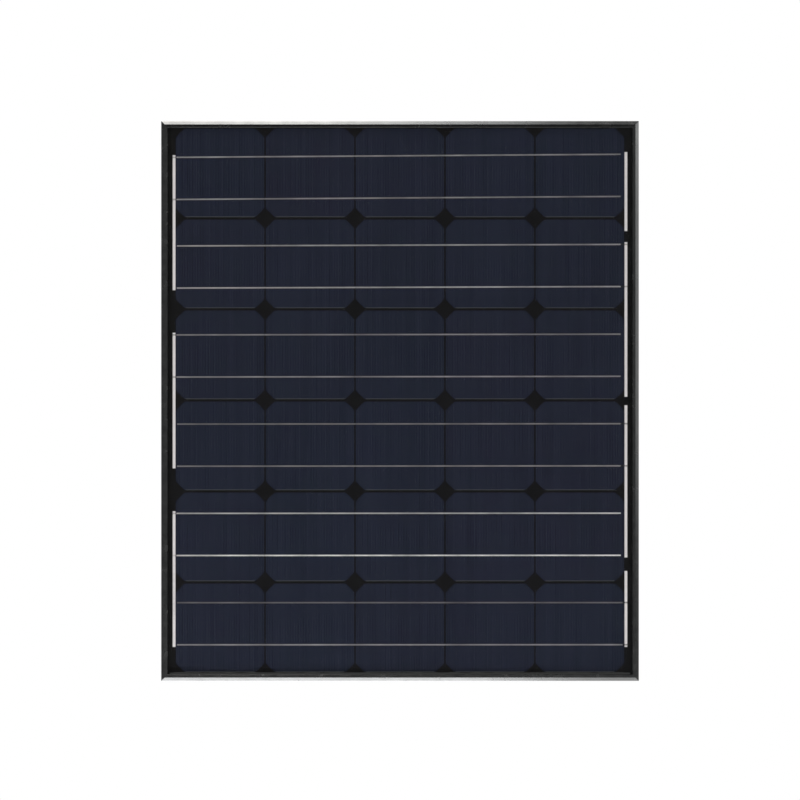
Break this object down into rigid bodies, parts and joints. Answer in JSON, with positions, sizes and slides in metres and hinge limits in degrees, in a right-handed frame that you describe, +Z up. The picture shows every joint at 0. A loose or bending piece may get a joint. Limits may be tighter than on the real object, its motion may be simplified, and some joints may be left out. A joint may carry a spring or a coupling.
{
  "type": "solar panel",
  "caption": "Framed monocrystalline solar panel: cells joined by flat ribbons behind glass, with a hinged-lid junction box on the back.",
  "frame": {"origin": "centre of the four mounting holes, on the plane of the frame's back flanges", "axes": "+X across the panel, +Z up its longer side, +Y out of its back; the glass faces -Y"},
  "size_m": [0.674, 0.035, 0.79],
  "materials": {
    "frame": "black anodised, satin, fine extrusion lines",
    "corner_key": "mill finish",
    "edge_seal": "matt black rubber",
    "cover_glass": "clear tempered low-iron glass",
    "encapsulant": "clear cured film",
    "cell": "dark navy coated silicon with fine printed lines",
    "tinned_ribbon": "tinned copper, soft shine",
    "insulation": "matt black film",
    "backsheet": "black film, fine texture",
    "box_plastic": "black moulded plastic, fine spark texture",
    "adhesive": "black silicone",
    "seal_rubber": "dark grey silicone rubber",
    "gland_plastic": "black polyamide",
    "steel": "stainless steel",
    "terminal_metal": "tinned brass",
    "spring_steel": "spring steel",
    "diode": "black epoxy with a pale band"
  },
  "bodies": {
    "panel": {"backsheet": "backsheet", "bus_left_lower": "tinned_ribbon", "bus_left_middle": "tinned_ribbon", "bus_left_upper": "tinned_ribbon", "bus_right_lower": "tinned_ribbon", "bus_right_terminal_lower": "tinned_ribbon", "bus_right_terminal_upper": "tinned_ribbon", "bus_right_upper": "tinned_ribbon", "bypass_diode_1": "diode", "bypass_diode_2": "diode", "bypass_diode_3": "diode", "cable_clamps": "terminal_metal", "cell_ribbons_row_1": "tinned_ribbon", "cell_ribbons_row_2": "tinned_ribbon", "cell_ribbons_row_3": "tinned_ribbon", "cell_ribbons_row_4": "tinned_ribbon", "cell_ribbons_row_5": "tinned_ribbon", "cell_ribbons_row_6": "tinned_ribbon", "cell_row_1": "cell", "cell_row_2": "cell", "cell_row_3": "cell", "cell_row_4": "cell", "cell_row_5": "cell", "cell_row_6": "cell", "clamp_screws": "steel", "corner_key_bottom_left": "corner_key", "corner_key_bottom_right": "corner_key", "corner_key_top_left": "corner_key", "corner_key_top_right": "corner_key", "edge_seal": "edge_seal", "frame_bottom": "frame", "frame_left": "frame", "frame_right": "frame", "frame_top": "frame", "front_encapsulant": "encapsulant", "gland_bodies": "gland_plastic", "gland_cap_nuts": "gland_plastic", "gland_locknuts": "gland_plastic", "gland_seals": "seal_rubber", "glass_cover": "cover_glass", "junction_box_adhesive": "adhesive", "junction_box_base": "box_plastic", "lead_insulation": "insulation", "lead_out_lower_tap": "tinned_ribbon", "lead_out_negative": "tinned_ribbon", "lead_out_positive": "tinned_ribbon", "lead_out_upper_tap": "tinned_ribbon", "lid_hinge_pins": "steel", "lid_seal": "seal_rubber", "rear_encapsulant": "encapsulant", "ribbon_clips": "spring_steel", "terminal_rail_1": "terminal_metal", "terminal_rail_2": "terminal_metal", "terminal_rail_3": "terminal_metal", "terminal_rail_4": "terminal_metal"},
    "lid": {"junction_box_lid": "box_plastic"}
  },
  "joints": [
    {"name": "lid_hinge", "type": "hinge", "parent": "panel", "child": "lid", "pos_m": [0.235, -0.008, 0.06], "axis": [1, 0, 0], "range_deg": [0, 110]}
  ]
}
